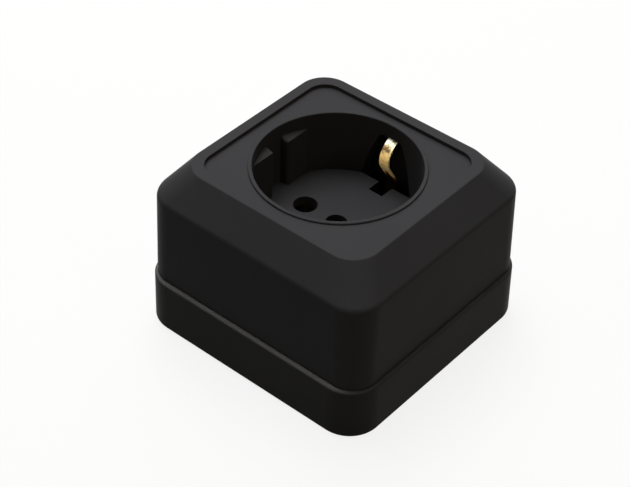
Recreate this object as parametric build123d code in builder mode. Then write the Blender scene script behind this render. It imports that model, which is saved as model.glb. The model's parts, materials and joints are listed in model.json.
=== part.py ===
"""Surface-mounted earthed wall socket for a two-pin plug, in millimetres.

The back plane lies on Z = 0 with its centre at the origin, and +Z points out of the wall.
The plug's pin holes lie along X, and the earth clips stand at the two Y ends of the plug well.
"""

import math
import os

from build123d import *

os.makedirs("parts", exist_ok=True)

# Outer form, read from the wall outwards
socket_height = 45.0
base_x, base_y = 66.4, 64.6
base_corner = 8.3
base_height = 14.0
base_draft = 1.0
base_lip_round = 0.6
base_foot_round = 0.9
foot_inset_x, foot_inset_y = 1.05, 1.3
foot_corner = 6.5
crease_inset = 0.25
crease_corner = 7.2
crease_round = 2.0
shoulder_run = 5.8
shoulder_drop = 7.7
rim_corner = 6.9
rim_width = 2.6
panel_depth = 1.0
panel_corner = 5.0
rim_round = 0.35
shadow_gap = 0.4
shadow_depth = 0.7

# Walls
base_wall = 2.2
base_floor = 2.6
cover_wall = 2.0
roof = 2.0
spigot_wall = 1.3
spigot_reach = 3.0
spigot_clearance = 0.2

# Plug well
well_radius = 19.65
well_depth = 17.5
well_wall = 1.6
ring_width = 0.95
ring_height = 0.5
ring_round = 0.22
floor_thickness = 2.6
pin_spacing = 19.0
pin_hole_radius = 2.95
lug_face = 17.2
lug_gap_half = 2.45
lug_drop = 4.45
lug_slope = 0.65
lug_slope_run = 2.4
lug_round = 0.8

# Slots for the earth clips
slot_top_half = 3.2
slot_middle_half = 6.3
slot_middle_drop = 12.6
slot_foot_half = 7.4
slot_drop = 4.4
slot_back = 23.2
slot_back_wall = 1.4
floor_slot_half = 2.0
floor_slot_start = 14.4
floor_opening_half = 7.0
floor_opening_start = 18.3

# Earth clips and the strap that joins them
clip_thickness = 0.5
clip_width = 2.7
clip_heel = 20.6
clip_toe = 15.4
clip_knee_above_floor = 1.0
clip_bulge = 15.7
clip_bulge_below_rim = 8.6
clip_tip = 20.6
clip_tip_below_rim = 5.2
clip_heel_round = 1.0
clip_knee_round = 4.0
clip_bulge_round = 4.6
strap_thickness = 1.2
strap_half_width = 3.5
strap_past_heel = 1.3
strap_end_round = 1.2
rivet_radius = 0.8
rivet_head_radius = 1.2
rivet_head_height = 0.7
rivet_inset = 2.5
rivet_head_gap = 0.4
rivet_hole_gap = 0.15

# Contact carrier
carrier_x, carrier_y = 46.0, 26.0
carrier_foot = 4.6
carrier_below_floor = 6.6
carrier_edge = 2.0
carrier_bottom = 1.6
tower_wall = 0.9
tower_gap = 0.5
seat_gap = 0.15
spring_room = 0.25
hole_gap = 0.15

# Live contacts, their springs and their terminals
sleeve_bore = 2.3
sleeve_wall = 0.7
sleeve_slit = 1.0
sleeve_foot = 4.0
sleeve_below_tower = 4.0
sleeve_mouth = 0.35
tongue_width = 5.0
tongue_thickness = 1.0
spring_wall = 0.55
spring_height = 4.0
spring_below_mouth = 2.0
spring_split = 1.2
spring_gap = 0.03
cage_x, cage_y, cage_z = 7.2, 8.6, 9.2
cage_offset = 17.6
cage_wall = 1.5
cage_top_wall = 2.8
cage_round = 0.6
clamp_thickness = 1.0
clamp_gap = 0.25
clamp_groove = 0.35
clamp_groove_radius = 1.6
wire_hole_radius = 2.3
terminal_screw_radius = 1.75
terminal_head_radius = 2.9
terminal_head_height = 2.2
terminal_screw_length = 7.0
driver_slot_width = 0.8
driver_slot_depth = 1.0
head_chamfer = 0.55
live_screw_turn = 35
earth_screw_turn = 20
screw_running_gap = 0.03

# Earth terminal
earth_terminal_y = -8.6
earth_plate_x, earth_plate_y = 7.0, 6.6
earth_plate_thickness = 0.9
nut_size = 5.6
nut_height = 2.6
earth_screw_past_nut = 1.2

# Cover screw and its insert
cover_screw_radius = 1.7
cover_screw_head = 2.4
cover_screw_head_height = 2.0
cover_screw_sink = 3.6
cover_boss_radius = 4.1
cover_boss_ledge = 2.1
cover_screw_length = 12.5
cover_screw_turn = 50
screw_head_gap = 0.2
insert_radius = 2.9
insert_length = 9.0
insert_groove_width = 1.0
insert_groove_depth = 0.4
insert_groove_shares = (0.35, 0.7)
strap_screw_gap = 0.5

# Carrier screws and the pads below the carrier
carrier_screw_x, carrier_screw_y = 18.6, 9.2
carrier_screw_radius = 1.4
carrier_screw_head = 2.7
carrier_screw_head_height = 1.9
carrier_screw_ledge = 4.4
carrier_screw_bite = 2.6
carrier_screw_turns = (15, 70)
screw_tip_gap = 0.6
pad_radius = 3.6

# Wall fixing and cable ways
fixing_spacing_x, fixing_spacing_y = 44.0, 44.0
fixing_hole_radius = 2.25
fixing_pad_radius = 4.6
fixing_pad_height = 1.4
cable_way_length, cable_way_width = 24.0, 10.0
cable_way_y = 21.8
knockout_width = 14.0
knockout_height = 9.0
knockout_skin = 0.9
knockout_groove = 0.5

# Heights that follow from the sizes above
cover_foot = base_height
crease_z = socket_height - shoulder_drop
panel_z = socket_height - panel_depth
floor_z = socket_height - well_depth
floor_under = floor_z - floor_thickness
carrier_top = floor_under - carrier_below_floor
strap_top = carrier_top + strap_thickness
tower_top = floor_under - tower_gap
carrier_floor = carrier_foot + carrier_bottom

foot_x, foot_y = base_x - 2 * foot_inset_x, base_y - 2 * foot_inset_y
crease_x, crease_y = foot_x - 2 * crease_inset, foot_y - 2 * crease_inset
rim_x, rim_y = crease_x - 2 * shoulder_run, crease_y - 2 * shoulder_run
cover_screw_seat = floor_z - cover_screw_sink - cover_screw_head_height
cover_boss_foot = cover_screw_seat - cover_boss_ledge
inner_x, inner_y = base_x - 2 * base_wall, base_y - 2 * base_wall
base_inner_corner = base_corner - base_wall


def section(height, size_x, size_y, corner):
    """A rounded rectangle at one height, for a loft."""
    with BuildSketch(Plane.XY.offset(height)) as outline:
        RectangleRounded(size_x, size_y, corner)
    return outline.sketch


def disc(x, y, height, radius):
    """A circle at one height."""
    with BuildSketch(Plane.XY.offset(height)) as outline:
        with Locations((x, y)):
            Circle(radius)
    return outline.sketch


def slab(x, y, height, size_x, size_y, turn=0):
    """A rectangle at one height."""
    with BuildSketch(Plane.XY.offset(height)) as outline:
        with Locations((x, y)):
            Rectangle(size_x, size_y, rotation=turn)
    return outline.sketch


def pan_screw(x, y, seat, head_radius, head_height, shank_radius, length, slot_turn):
    """Adds a slotted pan-head screw to the part in hand, with its head's underside at seat."""
    extrude(disc(x, y, seat, head_radius), amount=head_height)
    head_top = edges().filter_by(GeomType.CIRCLE).group_by(Axis.Z)[-1]
    chamfer(head_top.sort_by_distance((x, y, seat + head_height))[:1], head_chamfer)
    extrude(disc(x, y, seat, shank_radius), amount=-length)
    slot = slab(x, y, seat + head_height, 2 * head_radius, driver_slot_width, slot_turn)
    extrude(slot, amount=-driver_slot_depth, mode=Mode.SUBTRACT)


# Base tray: one moulding with fixing pads, carrier pads, a rear cable way and a knock-out
fixing_points = GridLocations(fixing_spacing_x, fixing_spacing_y, 2, 2)
pad_points = GridLocations(2 * carrier_screw_x, 2 * carrier_screw_y, 2, 2)
carrier_screw_points = [(carrier_screw_x, carrier_screw_y), (-carrier_screw_x, -carrier_screw_y)]

with BuildPart() as base_tray:
    with BuildSketch():
        RectangleRounded(base_x, base_y, base_corner)
    extrude(amount=base_height, taper=base_draft)
    fillet(base_tray.faces().sort_by(Axis.Z)[-1].outer_wire().edges(), base_lip_round)
    fillet(base_tray.faces().sort_by(Axis.Z)[0].outer_wire().edges(), base_foot_round)
    with BuildSketch(Plane.XY.offset(base_floor)):
        RectangleRounded(inner_x, inner_y, base_inner_corner)
    extrude(amount=base_height, mode=Mode.SUBTRACT)
    with BuildSketch(Plane.XY.offset(base_floor)):
        with fixing_points:
            Circle(fixing_pad_radius)
    extrude(amount=fixing_pad_height)
    with BuildSketch(Plane.XY.offset(base_floor)):
        with pad_points:
            Circle(pad_radius)
    extrude(amount=carrier_foot - base_floor)
    with BuildSketch():
        with fixing_points:
            Circle(fixing_hole_radius)
        with Locations((0, cable_way_y)):
            SlotOverall(cable_way_length, cable_way_width)
    extrude(amount=base_floor + fixing_pad_height, mode=Mode.SUBTRACT)
    with BuildSketch(Plane.XY.offset(carrier_foot)):
        with Locations(*carrier_screw_points):
            Circle(carrier_screw_radius + screw_running_gap)
    extrude(amount=-(carrier_screw_bite + screw_tip_gap), mode=Mode.SUBTRACT)
    with BuildSketch(Plane.XZ.offset(-(base_y / 2 - knockout_skin))):
        with Locations((0, base_height - knockout_height / 2)):
            Rectangle(knockout_width, knockout_height)
    extrude(amount=base_wall, mode=Mode.SUBTRACT)
    with BuildSketch(Plane.XZ.offset(-base_y / 2)):
        with Locations((0, base_height - knockout_height / 2)):
            Rectangle(knockout_width + knockout_groove, knockout_height)
            Rectangle(knockout_width - knockout_groove, knockout_height, mode=Mode.SUBTRACT)
    extrude(amount=knockout_groove, mode=Mode.SUBTRACT)
base_tray.part.label = "base_tray"
export_step(base_tray.part, "parts/base_tray.step")

# Cover: one moulding with the shoulder, rim, sunk panel, plug well, lugs and clip slots
roof_z = panel_z - roof
inner_crease_z = crease_z - cover_wall * math.tan(math.atan2(shoulder_drop, shoulder_run) / 2)
inner_slope = shoulder_run / shoulder_drop
inner_roof_shift = (roof_z - inner_crease_z) * inner_slope
inner_foot_x, inner_foot_y = foot_x - 2 * cover_wall, foot_y - 2 * cover_wall
inner_crease_x, inner_crease_y = crease_x - 2 * cover_wall, crease_y - 2 * cover_wall
inner_roof_x = inner_crease_x - 2 * inner_roof_shift
inner_roof_y = inner_crease_y - 2 * inner_roof_shift
spigot_x = inner_x - 2 * spigot_clearance
spigot_y = inner_y - 2 * spigot_clearance
spigot_corner = base_inner_corner - spigot_clearance
spigot_z = cover_foot - spigot_reach
slot_top_z = socket_height - slot_drop
lug_top_z = socket_height - lug_drop
well_outer = well_radius + well_wall

# Keying lugs of the well: two pairs that stand in from the wall, each with a sloping top
with BuildPart() as lugs:
    with BuildSketch(Plane.XY.offset(floor_z)) as lug_plan:
        Circle(well_radius + well_wall / 2)
        Rectangle(2 * lug_face, 2 * well_outer, mode=Mode.SUBTRACT)
        Rectangle(2 * well_outer, 2 * lug_gap_half, mode=Mode.SUBTRACT)
    extrude(amount=lug_top_z + lug_slope - floor_z)
    with BuildSketch(Plane.XZ.offset(-well_radius)):
        for side in (1, -1):
            with BuildLine():
                Polyline(
                    (side * lug_face, lug_top_z),
                    (side * (lug_face + lug_slope_run), lug_top_z + lug_slope),
                    (side * lug_face, lug_top_z + lug_slope),
                    close=True,
                )
            make_face()
    extrude(amount=2 * well_radius, mode=Mode.SUBTRACT)
    gap_faces = lugs.faces().filter_by(
        lambda face: abs(face.normal_at().Y) > 0.99 and abs(abs(face.center().Y) - lug_gap_half) < 0.01
    )
    gap_edges = gap_faces.edges().filter_by(
        lambda edge: edge.center().Z > lug_top_z - 0.01 or abs(abs(edge.center().X) - lug_face) < 0.01
    )
    fillet(gap_edges.filter_by(lambda edge: edge.center().Z > floor_z + 0.01), lug_round)

with BuildPart() as cover:
    # Outer form: drafted walls, then the sloping shoulder, with a soft crease between them
    loft(
        [
            section(cover_foot, foot_x, foot_y, foot_corner),
            section(crease_z, crease_x, crease_y, crease_corner),
            section(socket_height, rim_x, rim_y, rim_corner),
        ],
        ruled=True,
    )
    fillet([e for e in cover.edges() if abs(e.center().Z - crease_z) < 0.01], crease_round)
    fillet(cover.faces().sort_by(Axis.Z)[-1].outer_wire().edges(), rim_round)
    # Hollow inside, with the shadow groove and the spigot that enters the base
    loft(
        [
            section(cover_foot, inner_foot_x, inner_foot_y, foot_corner - cover_wall),
            section(inner_crease_z, inner_crease_x, inner_crease_y, crease_corner - cover_wall),
            section(roof_z, inner_roof_x, inner_roof_y, rim_corner - cover_wall),
        ],
        ruled=True,
        mode=Mode.SUBTRACT,
    )
    with BuildSketch(Plane.XY.offset(cover_foot)):
        RectangleRounded(base_x, base_y, base_corner)
        RectangleRounded(foot_x - 2 * shadow_depth, foot_y - 2 * shadow_depth, foot_corner - shadow_depth,
                         mode=Mode.SUBTRACT)
    extrude(amount=shadow_gap, mode=Mode.SUBTRACT)
    with BuildSketch(Plane.XY.offset(spigot_z)):
        RectangleRounded(spigot_x, spigot_y, spigot_corner)
        RectangleRounded(spigot_x - 2 * spigot_wall, spigot_y - 2 * spigot_wall,
                         spigot_corner - spigot_wall, mode=Mode.SUBTRACT)
    extrude(amount=spigot_reach + shadow_gap)
    # Sunk panel and the ring that stands round the well
    with BuildSketch(Plane.XY.offset(panel_z)):
        RectangleRounded(rim_x - 2 * rim_width, rim_y - 2 * rim_width, panel_corner)
    extrude(amount=socket_height - panel_z, mode=Mode.SUBTRACT)
    with BuildSketch(Plane.XY.offset(panel_z)):
        Circle(well_radius + ring_width)
    extrude(amount=ring_height)
    # Well tube with its floor, and the two housings that back the clip slots
    with BuildSketch(Plane.XY.offset(floor_under)):
        Circle(well_outer)
        for side in (1, -1):
            with Locations((0, side * (slot_back + slot_back_wall) / 2)):
                Rectangle(2 * (slot_foot_half + slot_back_wall), slot_back + slot_back_wall)
    extrude(amount=roof_z - floor_under)
    with BuildSketch(Plane.XY.offset(floor_z)):
        Circle(well_radius)
    extrude(amount=well_depth, mode=Mode.SUBTRACT)
    ring_edges = cover.edges().filter_by(GeomType.CIRCLE).filter_by(
        lambda edge: abs(edge.center().Z - panel_z - ring_height) < 0.01
    )
    fillet(ring_edges, ring_round)
    add(lugs.part)
    # Clip slots in the wall, wider towards the floor, and their way down through the floor
    for side in (1, -1):
        with BuildSketch(Plane.XZ.offset(-side * slot_back)) as clip_slot:
            with BuildLine():
                Line((-slot_foot_half, floor_z), (slot_foot_half, floor_z))
                Line((-slot_top_half, slot_top_z), (slot_top_half, slot_top_z))
                for edge_side in (1, -1):
                    ThreePointArc(
                        (edge_side * slot_foot_half, floor_z),
                        (edge_side * slot_middle_half, socket_height - slot_middle_drop),
                        (edge_side * slot_top_half, slot_top_z),
                    )
            make_face()
            fillet(clip_slot.vertices().group_by(Axis.Y)[-1], lug_round)
        extrude(amount=side * (slot_back - floor_slot_start), mode=Mode.SUBTRACT)
        with BuildSketch(Plane.XY.offset(floor_under)):
            with Locations((0, side * (floor_slot_start + slot_back) / 2)):
                Rectangle(2 * floor_slot_half, slot_back - floor_slot_start)
            with Locations((0, side * (floor_opening_start + slot_back) / 2)):
                Rectangle(2 * floor_opening_half, slot_back - floor_opening_start)
        extrude(amount=floor_thickness, mode=Mode.SUBTRACT)
    # Pin holes, and the hole, boss and ledge for the cover screw
    with BuildSketch(Plane.XY.offset(cover_boss_foot)):
        Circle(cover_boss_radius)
    extrude(amount=floor_under - cover_boss_foot)
    with BuildSketch(Plane.XY.offset(floor_under)):
        with Locations((-pin_spacing / 2, 0), (pin_spacing / 2, 0)):
            Circle(pin_hole_radius)
    extrude(amount=floor_thickness, mode=Mode.SUBTRACT)
    with BuildSketch(Plane.XY.offset(cover_screw_seat)):
        Circle(cover_screw_head + screw_head_gap)
    extrude(amount=floor_z - cover_screw_seat, mode=Mode.SUBTRACT)
    with BuildSketch(Plane.XY.offset(cover_boss_foot)):
        Circle(cover_screw_radius + screw_head_gap)
    extrude(amount=cover_screw_seat - cover_boss_foot, mode=Mode.SUBTRACT)
cover.part.label = "cover"
export_step(cover.part, "parts/cover.step")

# Contact carrier: one moulding with a tower and a chamber on each side for the live parts
sleeve_outer = sleeve_bore + sleeve_wall
tower_bore = sleeve_outer + spring_wall + spring_room
cage_window_foot = carrier_floor + cage_wall
cage_window_top = carrier_floor + cage_z - cage_top_wall
tongue_top = cage_window_foot + tongue_thickness
wire_z = (tongue_top + cage_window_top) / 2
carrier_screw_seat = carrier_foot + carrier_screw_ledge

with BuildPart() as contact_carrier:
    with BuildSketch(Plane.XY.offset(carrier_foot)):
        RectangleRounded(carrier_x, carrier_y, carrier_edge)
    extrude(amount=carrier_top - carrier_foot)
    with BuildSketch(Plane.XY.offset(carrier_top)):
        with Locations((-pin_spacing / 2, 0), (pin_spacing / 2, 0)):
            Circle(tower_bore + tower_wall)
    extrude(amount=tower_top - carrier_top)
    with BuildSketch(Plane.XY.offset(carrier_floor)):
        for side in (1, -1):
            with Locations((side * pin_spacing / 2, 0)):
                Circle(tower_bore)
            with Locations((side * (pin_spacing / 2 + cage_offset) / 2, 0)):
                Rectangle(cage_offset - pin_spacing / 2, tongue_width + 2 * seat_gap)
            with Locations((side * cage_offset, 0)):
                Rectangle(cage_x + 2 * seat_gap, cage_y + 2 * seat_gap)
    extrude(amount=tower_top - carrier_floor, mode=Mode.SUBTRACT)
    with BuildSketch(Plane.YZ.offset(-carrier_x / 2)):
        with Locations((0, wire_z)):
            Circle(wire_hole_radius)
    wire_way = carrier_x / 2 - cage_offset
    extrude(amount=wire_way, mode=Mode.SUBTRACT)
    with BuildSketch(Plane.YZ.offset(carrier_x / 2)):
        with Locations((0, wire_z)):
            Circle(wire_hole_radius)
    extrude(amount=-wire_way, mode=Mode.SUBTRACT)
    with BuildSketch(Plane.XY.offset(carrier_top)):
        Circle(insert_radius)
    extrude(amount=-insert_length, mode=Mode.SUBTRACT)
    with BuildSketch(Plane.XY.offset(carrier_top)):
        with Locations((0, earth_terminal_y)):
            Rectangle(nut_size + 2 * seat_gap, nut_size + 2 * seat_gap)
    extrude(amount=-nut_height, mode=Mode.SUBTRACT)
    with BuildSketch(Plane.XY.offset(carrier_top)):
        with Locations((0, earth_terminal_y)):
            Circle(terminal_screw_radius + hole_gap)
    extrude(amount=-(nut_height + earth_screw_past_nut + screw_tip_gap), mode=Mode.SUBTRACT)
    with BuildSketch(Plane.XY.offset(carrier_screw_seat)):
        with Locations(*carrier_screw_points):
            Circle(carrier_screw_head + hole_gap)
    extrude(amount=carrier_top - carrier_screw_seat, mode=Mode.SUBTRACT)
    with BuildSketch(Plane.XY.offset(carrier_foot)):
        with Locations(*carrier_screw_points):
            Circle(carrier_screw_radius + hole_gap)
    extrude(amount=carrier_screw_ledge, mode=Mode.SUBTRACT)
contact_carrier.part.label = "contact_carrier"
export_step(contact_carrier.part, "parts/contact_carrier.step")

# Live contacts, with their springs, terminal cages and wire clamps, one of each per side
sleeve_top = tower_top - sleeve_below_tower
clamp_top = tongue_top + clamp_thickness
tongue_end = cage_offset + cage_x / 2 - cage_round

for name, side in (("left", -1), ("right", 1)):
    pin_x = side * pin_spacing / 2
    cage_centre = side * cage_offset

    # A slit spring sleeve for the plug's pin, and its tongue that runs out to the terminal
    with BuildPart() as live_contact:
        with BuildSketch(Plane.XY.offset(cage_window_foot)):
            with Locations((side * (pin_spacing / 2 + tongue_end) / 2, 0)):
                Rectangle(tongue_end - pin_spacing / 2, tongue_width)
        extrude(amount=tongue_thickness)
        with BuildSketch(Plane.XY.offset(carrier_floor)):
            with Locations((pin_x, 0)):
                Circle(sleeve_outer)
        extrude(amount=sleeve_top - carrier_floor)
        with BuildSketch(Plane.XY.offset(carrier_floor)):
            with Locations((pin_x, 0)):
                Circle(sleeve_bore)
        extrude(amount=sleeve_top - carrier_floor, mode=Mode.SUBTRACT)
        mouth = live_contact.edges().filter_by(GeomType.CIRCLE).group_by(Axis.Z)[-1]
        chamfer(mouth.sort_by(SortBy.RADIUS)[0], sleeve_mouth)
        with BuildSketch(Plane.XY.offset(carrier_floor + sleeve_foot)):
            with Locations((pin_x, 0)):
                Rectangle(sleeve_slit, 2 * sleeve_outer)
        extrude(amount=sleeve_top, mode=Mode.SUBTRACT)
    live_contact.part.label = f"live_contact_{name}"
    export_step(live_contact.part, f"parts/live_contact_{name}.step")

    # A split steel ring that keeps the sleeve closed on the pin
    with BuildPart() as contact_spring:
        with BuildSketch(Plane.XY.offset(sleeve_top - spring_below_mouth - spring_height)):
            with Locations((pin_x, 0)):
                Circle(sleeve_outer + spring_gap + spring_wall)
                Circle(sleeve_outer + spring_gap, mode=Mode.SUBTRACT)
            with Locations((pin_x - side * sleeve_outer, 0)):
                Rectangle(sleeve_outer, spring_split, mode=Mode.SUBTRACT)
        extrude(amount=spring_height)
    contact_spring.part.label = f"contact_spring_{name}"
    export_step(contact_spring.part, f"parts/contact_spring_{name}.step")

    # A brass cage that the wire and the tongue enter, with a tapped hole in its top
    with BuildPart() as terminal_cage:
        with BuildSketch(Plane.XY.offset(carrier_floor)):
            with Locations((cage_centre, 0)):
                RectangleRounded(cage_x, cage_y, cage_round)
        extrude(amount=cage_z)
        with BuildSketch(Plane.YZ.offset(cage_centre - cage_x / 2)):
            with Locations((0, (cage_window_foot + cage_window_top) / 2)):
                Rectangle(cage_y - 2 * cage_wall, cage_window_top - cage_window_foot)
        extrude(amount=cage_x, mode=Mode.SUBTRACT)
        with BuildSketch(Plane.XY.offset(cage_window_top)):
            with Locations((cage_centre, 0)):
                Circle(terminal_screw_radius + screw_running_gap)
        extrude(amount=cage_top_wall, mode=Mode.SUBTRACT)
    terminal_cage.part.label = f"terminal_cage_{name}"
    export_step(terminal_cage.part, f"parts/terminal_cage_{name}.step")

    # A grooved plate that the screw presses on the wire
    with BuildPart() as wire_clamp:
        with BuildSketch(Plane.XY.offset(tongue_top)):
            with Locations((cage_centre, 0)):
                Rectangle(cage_x - 2 * cage_round, cage_y - 2 * cage_wall - 2 * clamp_gap)
        extrude(amount=clamp_thickness)
        with BuildSketch(Plane.YZ.offset(cage_centre - cage_x / 2)):
            with Locations((0, tongue_top + clamp_groove - clamp_groove_radius)):
                Circle(clamp_groove_radius)
        extrude(amount=cage_x, mode=Mode.SUBTRACT)
    wire_clamp.part.label = f"wire_clamp_{name}"
    export_step(wire_clamp.part, f"parts/wire_clamp_{name}.step")

# Terminal screws of the two live sides
with BuildPart() as live_terminal_screws:
    for side in (1, -1):
        pan_screw(side * cage_offset, 0, clamp_top + terminal_screw_length, terminal_head_radius,
                  terminal_head_height, terminal_screw_radius, terminal_screw_length, side * live_screw_turn)
live_terminal_screws.part.label = "live_terminal_screws"
export_step(live_terminal_screws.part, "parts/live_terminal_screws.step")

# Earth bridge: a flat steel strap across the carrier, from one earth clip to the other
strap_end = clip_heel + strap_past_heel
rivet_y = clip_heel - rivet_inset

with BuildPart() as earth_bridge:
    with BuildSketch(Plane.XY.offset(carrier_top)):
        RectangleRounded(2 * strap_half_width, 2 * strap_end, strap_end_round)
        Circle(cover_screw_radius + strap_screw_gap, mode=Mode.SUBTRACT)
        with Locations((0, earth_terminal_y)):
            Circle(terminal_screw_radius + hole_gap, mode=Mode.SUBTRACT)
        with Locations((0, rivet_y), (0, -rivet_y)):
            Circle(rivet_radius + screw_running_gap, mode=Mode.SUBTRACT)
    extrude(amount=strap_thickness)
earth_bridge.part.label = "earth_bridge"
export_step(earth_bridge.part, "parts/earth_bridge.step")

# Earth clips: bent brass leaves that stand up through the floor into the slots in the wall
clip_mid_z = strap_top + clip_thickness / 2

for name, side in (("lower", -1), ("upper", 1)):
    with BuildPart() as earth_clip:
        with BuildLine(Plane.YZ) as leaf_path:
            FilletPolyline(
                (side * clip_toe, clip_mid_z),
                (side * clip_heel, clip_mid_z),
                (side * clip_heel, floor_z + clip_knee_above_floor),
                (side * clip_bulge, socket_height - clip_bulge_below_rim),
                (side * clip_tip, socket_height - clip_tip_below_rim),
                radius=[clip_heel_round, clip_knee_round, clip_bulge_round],
            )
        with BuildSketch(Plane(origin=leaf_path.line @ 0, x_dir=(1, 0, 0), z_dir=leaf_path.line % 0)):
            Rectangle(clip_width, clip_thickness)
        sweep(path=leaf_path.line)
        with BuildSketch(Plane.XY.offset(strap_top)):
            with Locations((0, side * rivet_y)):
                Circle(rivet_radius + rivet_hole_gap)
        extrude(amount=clip_thickness, mode=Mode.SUBTRACT)
    earth_clip.part.label = f"earth_clip_{name}"
    export_step(earth_clip.part, f"parts/earth_clip_{name}.step")

# Rivets that hold the clips on the strap: a shank with a head at each end
rivet_head_seat = strap_top + clip_thickness + rivet_head_gap
with BuildPart() as earth_clip_rivets:
    for side in (1, -1):
        extrude(disc(0, side * rivet_y, carrier_top, rivet_radius), amount=rivet_head_seat - carrier_top)
        extrude(disc(0, side * rivet_y, rivet_head_seat, rivet_head_radius), amount=rivet_head_height)
        extrude(disc(0, side * rivet_y, carrier_top, rivet_head_radius), amount=-rivet_head_height)
earth_clip_rivets.part.label = "earth_clip_rivets"
export_step(earth_clip_rivets.part, "parts/earth_clip_rivets.step")

# Earth terminal: a clamp plate on the strap, a screw, and a square nut in the carrier
with BuildPart() as earth_clamp_plate:
    with BuildSketch(Plane.XY.offset(strap_top)):
        with Locations((0, earth_terminal_y)):
            Rectangle(earth_plate_x, earth_plate_y)
            Circle(terminal_screw_radius + hole_gap, mode=Mode.SUBTRACT)
    extrude(amount=earth_plate_thickness)
earth_clamp_plate.part.label = "earth_clamp_plate"
export_step(earth_clamp_plate.part, "parts/earth_clamp_plate.step")

earth_screw_seat = strap_top + earth_plate_thickness
earth_screw_length = earth_screw_seat - carrier_top + nut_height + earth_screw_past_nut
with BuildPart() as earth_terminal_screw:
    pan_screw(0, earth_terminal_y, earth_screw_seat, terminal_head_radius, terminal_head_height,
              terminal_screw_radius, earth_screw_length, earth_screw_turn)
earth_terminal_screw.part.label = "earth_terminal_screw"
export_step(earth_terminal_screw.part, "parts/earth_terminal_screw.step")

with BuildPart() as earth_terminal_nut:
    with BuildSketch(Plane.XY.offset(carrier_top - nut_height)):
        with Locations((0, earth_terminal_y)):
            RectangleRounded(nut_size, nut_size, cage_round)
            Circle(terminal_screw_radius + screw_running_gap, mode=Mode.SUBTRACT)
    extrude(amount=nut_height)
earth_terminal_nut.part.label = "earth_terminal_nut"
export_step(earth_terminal_nut.part, "parts/earth_terminal_nut.step")

# Screws that hold the carrier on the base
carrier_screw_length = carrier_screw_ledge + carrier_screw_bite
with BuildPart() as carrier_screws:
    for turn, (x, y) in zip(carrier_screw_turns, carrier_screw_points):
        pan_screw(x, y, carrier_screw_seat, carrier_screw_head, carrier_screw_head_height,
                  carrier_screw_radius, carrier_screw_length, turn)
carrier_screws.part.label = "carrier_screws"
export_step(carrier_screws.part, "parts/carrier_screws.step")

# Cover screw, and the brass insert in the carrier that takes it
with BuildPart() as cover_screw:
    pan_screw(0, 0, cover_screw_seat, cover_screw_head, cover_screw_head_height,
              cover_screw_radius, cover_screw_length, cover_screw_turn)
cover_screw.part.label = "cover_screw"
export_step(cover_screw.part, "parts/cover_screw.step")

with BuildPart() as cover_screw_insert:
    with BuildSketch(Plane.XY.offset(carrier_top - insert_length)):
        Circle(insert_radius)
        Circle(cover_screw_radius + screw_running_gap, mode=Mode.SUBTRACT)
    extrude(amount=insert_length)
    for share in insert_groove_shares:
        with BuildSketch(Plane.XY.offset(carrier_top - share * insert_length - insert_groove_width / 2)):
            Circle(insert_radius)
            Circle(insert_radius - insert_groove_depth, mode=Mode.SUBTRACT)
        extrude(amount=insert_groove_width, mode=Mode.SUBTRACT)
cover_screw_insert.part.label = "cover_screw_insert"
export_step(cover_screw_insert.part, "parts/cover_screw_insert.step")
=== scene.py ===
"""Looks of the wall socket: satin black mouldings round plated and brass inner parts, in metres."""

import json
import math

import bpy
from mathutils import Matrix, Vector

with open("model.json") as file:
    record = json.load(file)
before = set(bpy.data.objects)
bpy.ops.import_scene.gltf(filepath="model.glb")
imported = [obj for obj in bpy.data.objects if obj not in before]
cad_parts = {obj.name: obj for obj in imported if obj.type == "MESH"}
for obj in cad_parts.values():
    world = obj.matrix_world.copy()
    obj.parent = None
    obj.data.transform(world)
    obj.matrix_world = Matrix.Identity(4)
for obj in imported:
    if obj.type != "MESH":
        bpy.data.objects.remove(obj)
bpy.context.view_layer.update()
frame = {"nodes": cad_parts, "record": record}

MM = 0.001

# Camera: where it looks, how far it stands and how it is turned
VIEW_AZIMUTH = math.radians(39.56)
VIEW_ELEVATION = math.radians(41.06)
VIEW_ROLL = math.radians(1.54)
VIEW_DISTANCE = 416.45 * MM
VIEW_TARGET = Vector((0, 0, 20 * MM))
VIEW_RIGHT, VIEW_UP = -4.78 * MM, 0.60 * MM
NEAREST_SEEN = 10 * MM

# Lens: the photo's width and the focal length in pixels, and the sensor's width in millimetres
IMAGE_WIDTH = 630
FOCAL_PIXELS = 1765.4
SENSOR_WIDTH = 36.0

# Earth clips, along the leaf: dull below and polished above, with a smear, a painted tip highlight
# and a stain
CLIP_DULL_Z, CLIP_POLISH_Z = 37.2 * MM, 38.8 * MM
CLIP_DULL_ROUGHNESS, CLIP_POLISH_ROUGHNESS = 1.0, 0.34
CLIP_SMEAR_Z, CLIP_SMEAR_HALF, CLIP_SMEAR_FADE = 38.25 * MM, 0.25 * MM, 0.7 * MM
# Painted highlight: the brass turns pale cream from the first height to the second
CLIP_HIGHLIGHT_LOW_Z, CLIP_HIGHLIGHT_HIGH_Z = 38.6 * MM, 39.1 * MM
CLIP_STAIN_Z, CLIP_TIP_Z = 39.15 * MM, 39.5 * MM
CLIP_WANDER = 0.9 * MM

# Earth clips, across the leaf: where the smear ends and where the stain starts
CLIP_SMEAR_X, CLIP_BARE_X = 0.6 * MM, 1.1 * MM
CLIP_STAIN_X, CLIP_SIDE_X = -0.3 * MM, 0.3 * MM

# Earth clips, the edge of the foot: it rises from the left to a peak and falls to the right.
# The brass is burnt below this edge, and from a little lower near-black: partly tarnish, partly
# painted shade.
CLIP_LEFT_X, CLIP_PEAK_X, CLIP_RIGHT_X = -1.35 * MM, 0.1 * MM, 1.3 * MM
CLIP_FOOT_Z, CLIP_FOOT_RISE, CLIP_FOOT_FALL = 29.9 * MM, 2.4 * MM, 3.0 * MM
CLIP_BURNT_FADE = 0.6 * MM
CLIP_TARNISH_SHADE_LOW, CLIP_TARNISH_SHADE_HIGH = -1.56 * MM, -0.48 * MM

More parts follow.
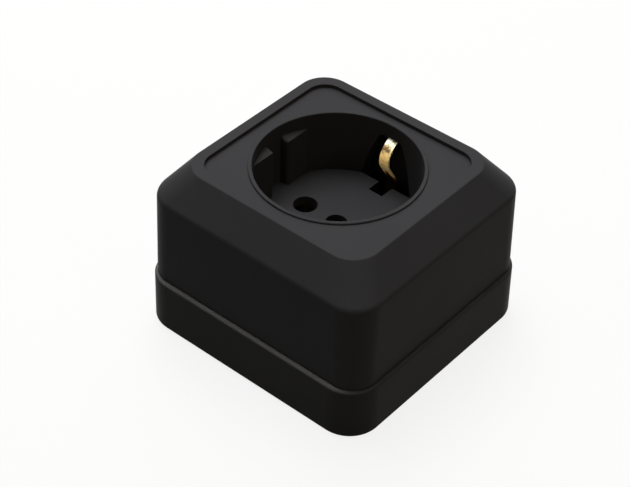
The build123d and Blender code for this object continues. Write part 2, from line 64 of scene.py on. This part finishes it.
# Earth clips: the colours of the brass and of its zones, and the clear coat
CLIP_LIGHT_BRASS, CLIP_DARK_BRASS = (0.99, 0.84, 0.46), (0.94, 0.72, 0.30)
CLIP_SCRATCH = (0.45, 0.25, 0.07)
# Colour of the painted highlight near the tip
CLIP_HIGHLIGHT_COLOR = (0.98, 0.93, 0.72)
CLIP_SMEAR = (0.16, 0.075, 0.022)
CLIP_STAIN = (0.20, 0.12, 0.04)
CLIP_BURNT = (0.42, 0.15, 0.04)
# Near-black foot colour: partly tarnish and partly painted shade of the well
CLIP_TARNISH_AND_SHADE = (0.015, 0.009, 0.006)
CLIP_COAT, CLIP_COAT_ROUGHNESS = 0.3, 0.2

# Noises: scale in cycles per metre, the part of their range that is used, and what it maps to
NOISE_MIDDLE = (0.3, 0.7)
CLOUD_SCALE, CLOUD_RANGE = 60.0, (0.35, 0.65)
STAIN_RANGE = (0.4, 0.7)
CLIP_BLOTCH_SCALE, CLIP_BLOTCH_ROUGHNESS = 600.0, (-0.06, 0.03)
CLIP_PATCH_RANGE, CLIP_PATCH_SHARE = (0.38, 0.6), (0.75, 1.0)
CLIP_WANDER_SCALE = 1300.0
CLIP_STREAK_SCALE, CLIP_STREAK_RANGE = 1600.0, (0.4, 0.66)
CLIP_LINE_SCALE, CLIP_SCRATCH_RANGE, CLIP_SCRATCH_SHARE = 3200.0, (0.56, 0.68), (0.0, 0.7)

# Scale of the axes under a noise, which draws it out along Z or along X
DRAWING_AXES = (1.0, 1.0, 0.04)
CLIP_STREAK_AXES, CLIP_SCRATCH_AXES = (0.5, 1.0, 1.0), (0.2, 1.0, 1.0)

# Bumps: strength and height
GRAIN_BUMP, DRAWING_BUMP, CLIP_BUMP = (0.12, 0.04 * MM), (0.15, 0.03 * MM), (0.2, 0.03 * MM)

# The base tray's lip has a painted highlight, weaker near its +X side
LIP_Z, LIP_TOP_Z = 13.5 * MM, 13.98 * MM
LIP_HIGHLIGHT_FULL_X, LIP_HIGHLIGHT_FADE_X, LIP_HIGHLIGHT_FADE_SHARE = 26.0 * MM, 31.0 * MM, 0.35
LIP_HIGHLIGHT_COLOR = (0.145, 0.147, 0.153)

# The surround: how bright it is to what mirrors it, and the fill that it adds to the shadows
SURROUND_WHITE, SURROUND_FILL = 1.0, 0.08
SEEN_COLOR, FILL_COLOR = (1.0, 1.0, 1.0, 1.0), (1.0, 0.79, 0.48, 1.0)

# The floor: its size, its colour as seen and as a light source, and its share of plain white
FLOOR_HALF, FLOOR_GAP = 1.5, 0.2 * MM
FLOOR_SEEN, FLOOR_BOUNCE = 0.85, 0.14
FLOOR_WHITE_SHARE = 0.85
FLOOR_ROUGHNESS = 0.9

# Lamps: name, place, what it points at, side of its square, power and colour
WHITE, WARM_WHITE = (1.0, 1.0, 1.0), (1.0, 0.88, 0.68)
LAMPS = (
    ("top_lamp", (-0.18, 0.07, 0.77), (0, 0, 0.02), 0.5, 5.0, WHITE),
    ("back_lamp", (-0.385, 0.465, 0.53), (0, 0, 0.04), 0.6, 2.7, WHITE),
    ("side_lamp", (-0.38, -0.44, 0.56), (0, 0, 0.04), 0.2, 0.2, WHITE),
    ("right_lamp", (0.62, 0.0, 0.4), (0, 0, 0.04), 0.2, 0.38, WARM_WHITE),
)


def link(tree, source, target):
    """Joins two node sockets."""
    tree.links.new(source, target)


def add_node(tree, kind, **inputs):
    """Adds a shader node and sets its named inputs."""
    node = tree.nodes.new(kind)
    for name, value in inputs.items():
        node.inputs[name.replace("_", " ")].default_value = value
    return node


def find_node(tree, kind):
    """The tree's one node of a kind."""
    return [node for node in tree.nodes if node.bl_idname == kind][0]


def new_material(name):
    """An empty node material with its shader and output joined."""
    material = bpy.data.materials.new(name)
    material.use_nodes = True
    tree = material.node_tree
    tree.nodes.clear()
    shader = tree.nodes.new("ShaderNodeBsdfPrincipled")
    output = tree.nodes.new("ShaderNodeOutputMaterial")
    link(tree, shader.outputs["BSDF"], output.inputs["Surface"])
    return material, tree, shader


def object_place(tree):
    """A point's place on its own piece, in metres."""
    return add_node(tree, "ShaderNodeTexCoord").outputs["Object"]


def split_axes(tree, place):
    """The X and the Z of a place."""
    axes = tree.nodes.new("ShaderNodeSeparateXYZ")
    link(tree, place, axes.inputs["Vector"])
    return axes.outputs["X"], axes.outputs["Z"]


def stretch(tree, place, scale):
    """A place with scaled axes: a texture on it is drawn out along an axis of small scale."""
    mapping = add_node(tree, "ShaderNodeMapping", Scale=scale)
    link(tree, place, mapping.inputs["Vector"])
    return mapping.outputs["Vector"]


def noise(tree, place, scale, detail=2.0, roughness=0.5):
    """A noise texture at a scale in cycles per metre."""
    texture = add_node(tree, "ShaderNodeTexNoise", Scale=scale, Detail=detail, Roughness=roughness)
    link(tree, place, texture.inputs["Vector"])
    return texture.outputs["Fac"]


def spread(tree, value, from_low, from_high, to_low=0.0, to_high=1.0):
    """Maps a value from one range to another, and holds it at the ends."""
    remap = add_node(tree, "ShaderNodeMapRange")
    for index, number in zip((1, 2, 3, 4), (from_low, from_high, to_low, to_high)):
        remap.inputs[index].default_value = number
    link(tree, value, remap.inputs[0])
    return remap.outputs[0]


def calculate(tree, operation, first, second, clamp=False):
    """Combines two values. Each is a node's output or a number."""
    node = add_node(tree, "ShaderNodeMath")
    node.operation = operation
    node.use_clamp = clamp
    for socket, value in zip(node.inputs, (first, second)):
        if isinstance(value, float):
            socket.default_value = value
        else:
            link(tree, value, socket)
    return node.outputs["Value"]


def product(tree, first, *others):
    """Multiplies node outputs."""
    for other in others:
        first = calculate(tree, "MULTIPLY", first, other)
    return first


def blend_colors(tree, factor, first, second):
    """Mixes two colours by a factor. Each is a colour or a node's output."""
    mix = tree.nodes.new("ShaderNodeMix")
    mix.data_type = "RGBA"
    link(tree, factor, mix.inputs["Factor"])
    for name, color in (("A", first), ("B", second)):
        socket = [s for s in mix.inputs if s.name == name and s.type == "RGBA"][0]
        if isinstance(color, tuple):
            socket.default_value = (*color, 1.0)
        else:
            link(tree, color, socket)
    return [s for s in mix.outputs if s.type == "RGBA"][0]


def add_bump(tree, shader, height, strength, distance):
    """Feeds a height into the shader's normal."""
    bump = add_node(tree, "ShaderNodeBump", Strength=strength, Distance=distance)
    link(tree, height, bump.inputs["Height"])
    link(tree, bump.outputs["Normal"], shader.inputs["Normal"])


def moulded_plastic(name, dark, light, roughness, grain, specular):
    """Satin moulded plastic: a slight cloudiness, a fine grain and uneven gloss."""
    material, tree, shader = new_material(name)
    place = object_place(tree)
    cloud = noise(tree, place, CLOUD_SCALE, detail=3.0)
    fine = noise(tree, place, grain, detail=3.0, roughness=0.6)
    color = blend_colors(tree, spread(tree, cloud, *CLOUD_RANGE), dark, light)
    link(tree, color, shader.inputs["Base Color"])
    link(tree, spread(tree, fine, *NOISE_MIDDLE, *roughness), shader.inputs["Roughness"])
    shader.inputs["Specular IOR Level"].default_value = specular
    add_bump(tree, shader, fine, *GRAIN_BUMP)
    return material


def tray_plastic(name, dark, light, roughness, grain, specular):
    """The base tray's plastic, with a painted highlight along its lip."""
    material = moulded_plastic(name, dark, light, roughness, grain, specular)
    tree = material.node_tree
    shader = find_node(tree, "ShaderNodeBsdfPrincipled")
    across, height = split_axes(tree, object_place(tree))
    # Painted highlight: the lip's colour is lightened, less so towards +X
    side = spread(tree, across, LIP_HIGHLIGHT_FULL_X, LIP_HIGHLIGHT_FADE_X, 1.0, LIP_HIGHLIGHT_FADE_SHARE)
    lip_highlight = product(tree, side, spread(tree, height, LIP_Z, LIP_TOP_Z))
    plain = shader.inputs["Base Color"].links[0].from_socket
    link(tree, blend_colors(tree, lip_highlight, plain, LIP_HIGHLIGHT_COLOR), shader.inputs["Base Color"])
    return material


def metal(name, clean, stained, roughness, stain_scale, line_scale):
    """Metal with blotchy staining and fine drawing lines along Z."""
    material, tree, shader = new_material(name)
    place = object_place(tree)
    blotch = noise(tree, place, stain_scale, detail=4.0, roughness=0.6)
    lines = noise(tree, stretch(tree, place, DRAWING_AXES), line_scale)
    color = blend_colors(tree, spread(tree, blotch, *STAIN_RANGE), clean, stained)
    link(tree, color, shader.inputs["Base Color"])
    link(tree, spread(tree, blotch, *NOISE_MIDDLE, *roughness), shader.inputs["Roughness"])
    shader.inputs["Metallic"].default_value = 1.0
    add_bump(tree, shader, lines, *DRAWING_BUMP)
    return material


def clip_metal(name):
    """Bright brass of the earth clips: painted tip highlight, brown smear, foot darkened by tarnish
    and painted shade.
    """
    material, tree, shader = new_material(name)
    place = object_place(tree)
    across, height = split_axes(tree, place)
    blotch = noise(tree, place, CLIP_BLOTCH_SCALE, detail=4.0, roughness=0.6)
    patches = spread(tree, blotch, *CLIP_PATCH_RANGE, *CLIP_PATCH_SHARE)

    # The height at which a zone starts wanders by a noise
    waves = noise(tree, place, CLIP_WANDER_SCALE, detail=3.0)
    wander = spread(tree, waves, *NOISE_MIDDLE, -0.5 * CLIP_WANDER, 0.5 * CLIP_WANDER)
    level = calculate(tree, "ADD", wander, height)

    # A smear below the tip, and a stain at one side of the tip
    smear_low, smear_high = CLIP_SMEAR_Z - CLIP_SMEAR_HALF, CLIP_SMEAR_Z + CLIP_SMEAR_HALF
    smear = product(
        tree,
        spread(tree, level, smear_low - CLIP_SMEAR_FADE, smear_low),
        spread(tree, level, smear_high, smear_high + CLIP_SMEAR_FADE, 1.0, 0.0),
        spread(tree, across, CLIP_SMEAR_X, CLIP_BARE_X, 1.0, 0.0),
        patches,
    )
    stain = product(
        tree,
        spread(tree, level, CLIP_STAIN_Z, CLIP_TIP_Z),
        spread(tree, across, CLIP_STAIN_X, CLIP_SIDE_X),
        patches,
    )

    # The burnt edge of the foot, and below it a near-black zone, partly tarnish and partly painted
    # shade
    foot_top = CLIP_FOOT_Z + CLIP_FOOT_RISE
    rise = spread(tree, across, CLIP_LEFT_X, CLIP_PEAK_X, CLIP_FOOT_Z, foot_top)
    fall = spread(tree, across, CLIP_PEAK_X, CLIP_RIGHT_X, 0.0, CLIP_FOOT_FALL)
    edge = calculate(tree, "SUBTRACT", rise, fall)
    above_edge = calculate(tree, "SUBTRACT", level, edge)
    burnt = spread(tree, above_edge, -CLIP_BURNT_FADE, CLIP_BURNT_FADE, 1.0, 0.0)
    tarnish_and_shade = spread(tree, above_edge, CLIP_TARNISH_SHADE_LOW, CLIP_TARNISH_SHADE_HIGH, 1.0, 0.0)

    # Streaks and scratches run across the leaf
    wide_place = stretch(tree, place, CLIP_STREAK_AXES)
    wide_lines = noise(tree, wide_place, CLIP_STREAK_SCALE, detail=3.0, roughness=0.55)
    streaks = spread(tree, wide_lines, *CLIP_STREAK_RANGE)
    fine_lines = noise(tree, stretch(tree, place, CLIP_SCRATCH_AXES), CLIP_LINE_SCALE)
    scratches = spread(tree, fine_lines, *CLIP_SCRATCH_RANGE, *CLIP_SCRATCH_SHARE)
    # A painted highlight: the brass turns pale near the tip
    tip_highlight = spread(tree, level, CLIP_HIGHLIGHT_LOW_Z, CLIP_HIGHLIGHT_HIGH_Z)

    color = blend_colors(tree, streaks, CLIP_LIGHT_BRASS, CLIP_DARK_BRASS)
    for zone, zone_color in (
        (scratches, CLIP_SCRATCH),
        (tip_highlight, CLIP_HIGHLIGHT_COLOR),
        (smear, CLIP_SMEAR),
        (stain, CLIP_STAIN),
        (burnt, CLIP_BURNT),
        (tarnish_and_shade, CLIP_TARNISH_AND_SHADE),
    ):
        color = blend_colors(tree, zone, color, zone_color)
    link(tree, color, shader.inputs["Base Color"])

    ends = (CLIP_DULL_ROUGHNESS, CLIP_POLISH_ROUGHNESS)
    polish = spread(tree, height, CLIP_DULL_Z, CLIP_POLISH_Z, *ends)
    uneven = spread(tree, blotch, *NOISE_MIDDLE, *CLIP_BLOTCH_ROUGHNESS)
    link(tree, calculate(tree, "ADD", polish, uneven), shader.inputs["Roughness"])
    shader.inputs["Metallic"].default_value = 1.0

    # The clear coat is lost where the brass is smeared or burnt
    unsmeared = spread(tree, smear, 0.0, 1.0, CLIP_COAT, 0.0)
    unburnt = spread(tree, burnt, 0.0, 1.0, 1.0, 0.0)
    link(tree, product(tree, unsmeared, unburnt), shader.inputs["Coat Weight"])
    shader.inputs["Coat Roughness"].default_value = CLIP_COAT_ROUGHNESS
    add_bump(tree, shader, blotch, *CLIP_BUMP)
    return material


MATERIALS = {
    "cover_plastic": moulded_plastic(
        "cover_plastic", dark=(0.0416, 0.0411, 0.0444), light=(0.0446, 0.0441, 0.0474),
        roughness=(0.36, 0.46), grain=5200.0, specular=0.0095,
    ),
    "base_plastic": tray_plastic(
        "base_plastic", dark=(0.038, 0.0382, 0.0398), light=(0.042, 0.0422, 0.0438),
        roughness=(0.34, 0.44), grain=4600.0, specular=0.0095,
    ),
    "carrier_plastic": moulded_plastic(
        "carrier_plastic", dark=(0.045, 0.045, 0.044), light=(0.055, 0.055, 0.053),
        roughness=(0.5, 0.62), grain=3800.0, specular=0.05,
    ),
    "contact_brass": metal(
        "contact_brass", clean=(0.80, 0.60, 0.27), stained=(0.55, 0.38, 0.15),
        roughness=(0.24, 0.4), stain_scale=500.0, line_scale=9000.0,
    ),
    "terminal_brass": metal(
        "terminal_brass", clean=(0.74, 0.55, 0.24), stained=(0.5, 0.35, 0.14),
        roughness=(0.28, 0.45), stain_scale=420.0, line_scale=7000.0,
    ),
    "clip_brass": clip_metal("clip_brass"),
    "plated_steel": metal(
        "plated_steel", clean=(0.58, 0.58, 0.57), stained=(0.38, 0.37, 0.35),
        roughness=(0.38, 0.52), stain_scale=600.0, line_scale=8000.0,
    ),
    "black_steel": metal(
        "black_steel", clean=(0.05, 0.05, 0.052), stained=(0.035, 0.03, 0.028),
        roughness=(0.4, 0.55), stain_scale=600.0, line_scale=8000.0,
    ),
    "spring_steel": metal(
        "spring_steel", clean=(0.42, 0.42, 0.43), stained=(0.3, 0.29, 0.28),
        roughness=(0.3, 0.45), stain_scale=700.0, line_scale=8000.0,
    ),
}

SLOT_OF_NODE = {part["node"]: part["material_slot"] for part in frame["record"]["subparts"]}

for node_name, node in frame["nodes"].items():
    node.data.materials.clear()
    node.data.materials.append(MATERIALS[SLOT_OF_NODE[node_name]])


def seen_directly(tree, share):
    """A share for what the camera sees itself, in a gloss or through a clear piece, else 0."""
    path = tree.nodes.new("ShaderNodeLightPath")
    total = path.outputs["Is Camera Ray"]
    for name in ("Is Glossy Ray", "Is Transmission Ray"):
        total = calculate(tree, "ADD", total, path.outputs[name], clamp=True)
    return calculate(tree, "MULTIPLY", total, share)


def mix_looks(tree, output, plain, seen, share):
    """Joins two shaders to the output. What sees it directly gets a share of the second one."""
    mix = tree.nodes.new("ShaderNodeMixShader")
    for socket, source in zip(mix.inputs, (seen_directly(tree, share), plain, seen)):
        link(tree, source, socket)
    link(tree, mix.outputs["Shader"], output.inputs["Surface"])


def floor_look():
    """The floor's material: mostly plain white as seen, and darker as a light source."""
    material, tree, shader = new_material("floor")
    color = blend_colors(tree, seen_directly(tree, 1.0), (FLOOR_BOUNCE,) * 3, (FLOOR_SEEN,) * 3)
    link(tree, color, shader.inputs["Base Color"])
    shader.inputs["Roughness"].default_value = FLOOR_ROUGHNESS
    glow = add_node(tree, "ShaderNodeEmission", Strength=SURROUND_WHITE)
    output = find_node(tree, "ShaderNodeOutputMaterial")
    mix_looks(tree, output, shader.outputs["BSDF"], glow.outputs["Emission"], FLOOR_WHITE_SHARE)
    return material


def build_floor():
    """One plain square floor just below the socket's back."""
    mesh = bpy.data.meshes.new("floor")
    corners = [
        (FLOOR_HALF * side_x, FLOOR_HALF * side_y, 0)
        for side_x, side_y in ((-1, -1), (1, -1), (1, 1), (-1, 1))
    ]
    mesh.from_pydata(corners, [], [(0, 1, 2, 3)])
    mesh.materials.append(floor_look())
    floor = bpy.data.objects.new("floor", mesh)
    floor.location.z = -FLOOR_GAP
    bpy.context.scene.collection.objects.link(floor)


def build_surround():
    """A world that is white to see and to mirror, and adds a weak warm fill to the shadows."""
    world = bpy.data.worlds.new("studio")
    bpy.context.scene.world = world
    world.use_nodes = True
    tree = world.node_tree
    tree.nodes.clear()
    fill = add_node(tree, "ShaderNodeBackground", Color=FILL_COLOR, Strength=SURROUND_FILL)
    white = add_node(tree, "ShaderNodeBackground", Color=SEEN_COLOR, Strength=SURROUND_WHITE)
    output = tree.nodes.new("ShaderNodeOutputWorld")
    mix_looks(tree, output, fill.outputs["Background"], white.outputs["Background"], 1.0)


def soft_lamp(name, place, aim, size, power, color):
    """A square area lamp that points at a spot."""
    data = bpy.data.lights.new(name, "AREA")
    data.shape = "SQUARE"
    data.size = size
    data.energy = power
    data.color = color
    lamp = bpy.data.objects.new(name, data)
    lamp.location = place
    lamp.rotation_mode = "QUATERNION"
    lamp.rotation_quaternion = (Vector(aim) - Vector(place)).to_track_quat("-Z", "Y")
    bpy.context.scene.collection.objects.link(lamp)


def add_camera():
    """The camera at the photo's angle."""
    back = Vector((
        math.sin(VIEW_AZIMUTH) * math.cos(VIEW_ELEVATION),
        -math.cos(VIEW_AZIMUTH) * math.cos(VIEW_ELEVATION),
        math.sin(VIEW_ELEVATION),
    ))
    level = Vector((math.cos(VIEW_AZIMUTH), math.sin(VIEW_AZIMUTH), 0))
    upright = back.cross(level)
    right = math.cos(VIEW_ROLL) * level + math.sin(VIEW_ROLL) * upright
    up = -math.sin(VIEW_ROLL) * level + math.cos(VIEW_ROLL) * upright
    data = bpy.data.cameras.new("camera")
    data.sensor_width = SENSOR_WIDTH
    data.lens = FOCAL_PIXELS * SENSOR_WIDTH / IMAGE_WIDTH
    data.clip_start = NEAREST_SEEN
    camera = bpy.data.objects.new("camera", data)
    camera.matrix_world = Matrix((
        (right.x, up.x, back.x, 0),
        (right.y, up.y, back.y, 0),
        (right.z, up.z, back.z, 0),
        (0, 0, 0, 1),
    ))
    camera.location = VIEW_TARGET + VIEW_DISTANCE * back + VIEW_RIGHT * right + VIEW_UP * up
    bpy.context.scene.collection.objects.link(camera)
    bpy.context.scene.camera = camera


build_floor()
build_surround()
for lamp_values in LAMPS:
    soft_lamp(*lamp_values)
add_camera()
bpy.context.scene.view_settings.view_transform = "Standard"
